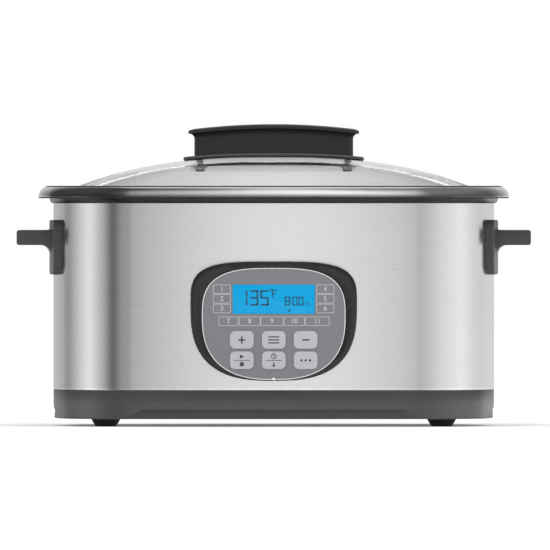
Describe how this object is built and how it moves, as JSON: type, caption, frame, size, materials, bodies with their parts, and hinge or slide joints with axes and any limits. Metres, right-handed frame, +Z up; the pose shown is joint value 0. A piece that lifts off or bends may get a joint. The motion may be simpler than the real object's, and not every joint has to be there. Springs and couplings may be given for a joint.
{
  "type": "yogurt maker",
  "caption": "Oblong electric yogurt maker and cooker: brushed steel body on a plastic base, lift-out pot, domed glass lid with handle, side handles and a keypad panel with display.",
  "frame": {"origin": "on the table under the middle of the body, between the four feet", "axes": "+X along the length to the right of a viewer at the front, +Y to the back, +Z up; the panel faces -Y"},
  "size_m": [0.4112, 0.272, 0.2414],
  "materials": {
    "brushed_shell": "stainless sheet brushed along its length",
    "neck_ring": "satin formed ring",
    "pot_coat": "glossy dark gunmetal coating",
    "clear_glass": "clear tempered glass",
    "handle_plastic": "fine satin grain",
    "seat_plastic": "satin grey",
    "base_plastic": "fine grain",
    "foot_rubber": "moulded",
    "silicone": "moulded",
    "frame_plastic": "smooth dark grey",
    "fascia_film": "satin printed film",
    "trim_line": "white moulded line",
    "display_glass": "lit blue display",
    "key_plastic": "satin light grey with printed signs",
    "liner_sheet": "mill finish sheet",
    "cast_heater": "cast, machined on top",
    "heater_tube": "heat stained tube",
    "plated_steel": "zinc plated",
    "sensor_metal": "turned",
    "heat_plastic": "moulded heat resistant plastic",
    "circuit_board": "green solder mask",
    "component_plastic": "moulded",
    "module_plastic": "pale moulded frame",
    "relay_plastic": "moulded blue case",
    "terminal_plastic": "moulded green",
    "coil_tape": "yellow tape over a wound coil",
    "contact_brass": "plated",
    "mains_sleeve": "insulated wire",
    "heater_sleeve": "silicone insulated wire",
    "ribbon_sleeve": "flat ribbon"
  },
  "bodies": {
    "housing": {"outer_shell": "brushed_shell", "top_ring": "neck_ring", "inner_liner": "liner_sheet", "base_housing": "base_plastic", "bottom_cover": "base_plastic", "cover_screws": "plated_steel", "foot_front_left": "foot_rubber", "foot_front_right": "foot_rubber", "foot_rear_left": "foot_rubber", "foot_rear_right": "foot_rubber", "tie_screws": "plated_steel", "tie_spacers": "plated_steel", "tie_nuts": "plated_steel", "left_handle": "handle_plastic", "right_handle": "handle_plastic", "handle_screws": "plated_steel", "heating_plate": "cast_heater", "heating_element": "heater_tube", "heater_screws": "plated_steel", "sensor_guide": "heat_plastic", "sensor_spring": "plated_steel", "thermal_cutout": "heat_plastic", "panel_frame": "frame_plastic", "fascia": "fascia_film", "fascia_trim": "trim_line", "display_window": "display_glass", "display_module": "module_plastic", "control_board": "circuit_board", "key_switches": "component_plastic", "control_board_screws": "plated_steel", "status_light": "trim_line", "power_board": "circuit_board", "relay": "relay_plastic", "transformer": "coil_tape", "terminal_block": "terminal_plastic", "power_board_screws": "plated_steel", "power_inlet": "component_plastic", "inlet_pins": "contact_brass", "inlet_screws": "plated_steel", "mains_leads": "mains_sleeve", "heater_leads": "heater_sleeve", "control_ribbon": "ribbon_sleeve"},
    "pot": {"inner_pot": "pot_coat"},
    "lid": {"lid_glass": "clear_glass", "lid_band": "brushed_shell", "lid_handle": "handle_plastic", "lid_handle_seat": "seat_plastic", "lid_backing_strip": "handle_plastic", "lid_bushings": "silicone", "lid_washers": "plated_steel", "lid_screws": "plated_steel"},
    "sensor": {"sensor_cap": "sensor_metal"},
    "key_plus": {"key_plus": "key_plastic"},
    "key_menu": {"key_menu": "key_plastic"},
    "key_minus": {"key_minus": "key_plastic"},
    "key_start": {"key_start": "key_plastic"},
    "key_timer": {"key_timer": "key_plastic"},
    "key_preset": {"key_preset": "key_plastic"}
  },
  "joints": [
    {"name": "pot_lift", "type": "slide", "parent": "housing", "child": "pot", "axis": [0, 0, 1], "range_m": [0, 0.2]},
    {"name": "lid_lift", "type": "slide", "parent": "pot", "child": "lid", "axis": [0, 0, 1], "range_m": [0, 0.15]},
    {"name": "sensor_rise", "type": "slide", "parent": "housing", "child": "sensor", "axis": [0, 0, 1], "range_m": [0, 0.003], "deforming": ["sensor_spring"]},
    {"name": "key_plus_press", "type": "slide", "parent": "housing", "child": "key_plus", "axis": [0, 1, 0], "range_m": [0, 0.0005], "stiffness_N_per_m": 3000},
    {"name": "key_menu_press", "type": "slide", "parent": "housing", "child": "key_menu", "axis": [0, 1, 0], "range_m": [0, 0.0005], "stiffness_N_per_m": 3000},
    {"name": "key_minus_press", "type": "slide", "parent": "housing", "child": "key_minus", "axis": [0, 1, 0], "range_m": [0, 0.0005], "stiffness_N_per_m": 3000},
    {"name": "key_start_press", "type": "slide", "parent": "housing", "child": "key_start", "axis": [0, 1, 0], "range_m": [0, 0.0005], "stiffness_N_per_m": 3000},
    {"name": "key_timer_press", "type": "slide", "parent": "housing", "child": "key_timer", "axis": [0, 1, 0], "range_m": [0, 0.0005], "stiffness_N_per_m": 3000},
    {"name": "key_preset_press", "type": "slide", "parent": "housing", "child": "key_preset", "axis": [0, 1, 0], "range_m": [0, 0.0005], "stiffness_N_per_m": 3000}
  ],
  "couplings": [
    {"joint": "sensor_rise", "follows": "pot_lift", "ratio": 0.015}
  ]
}
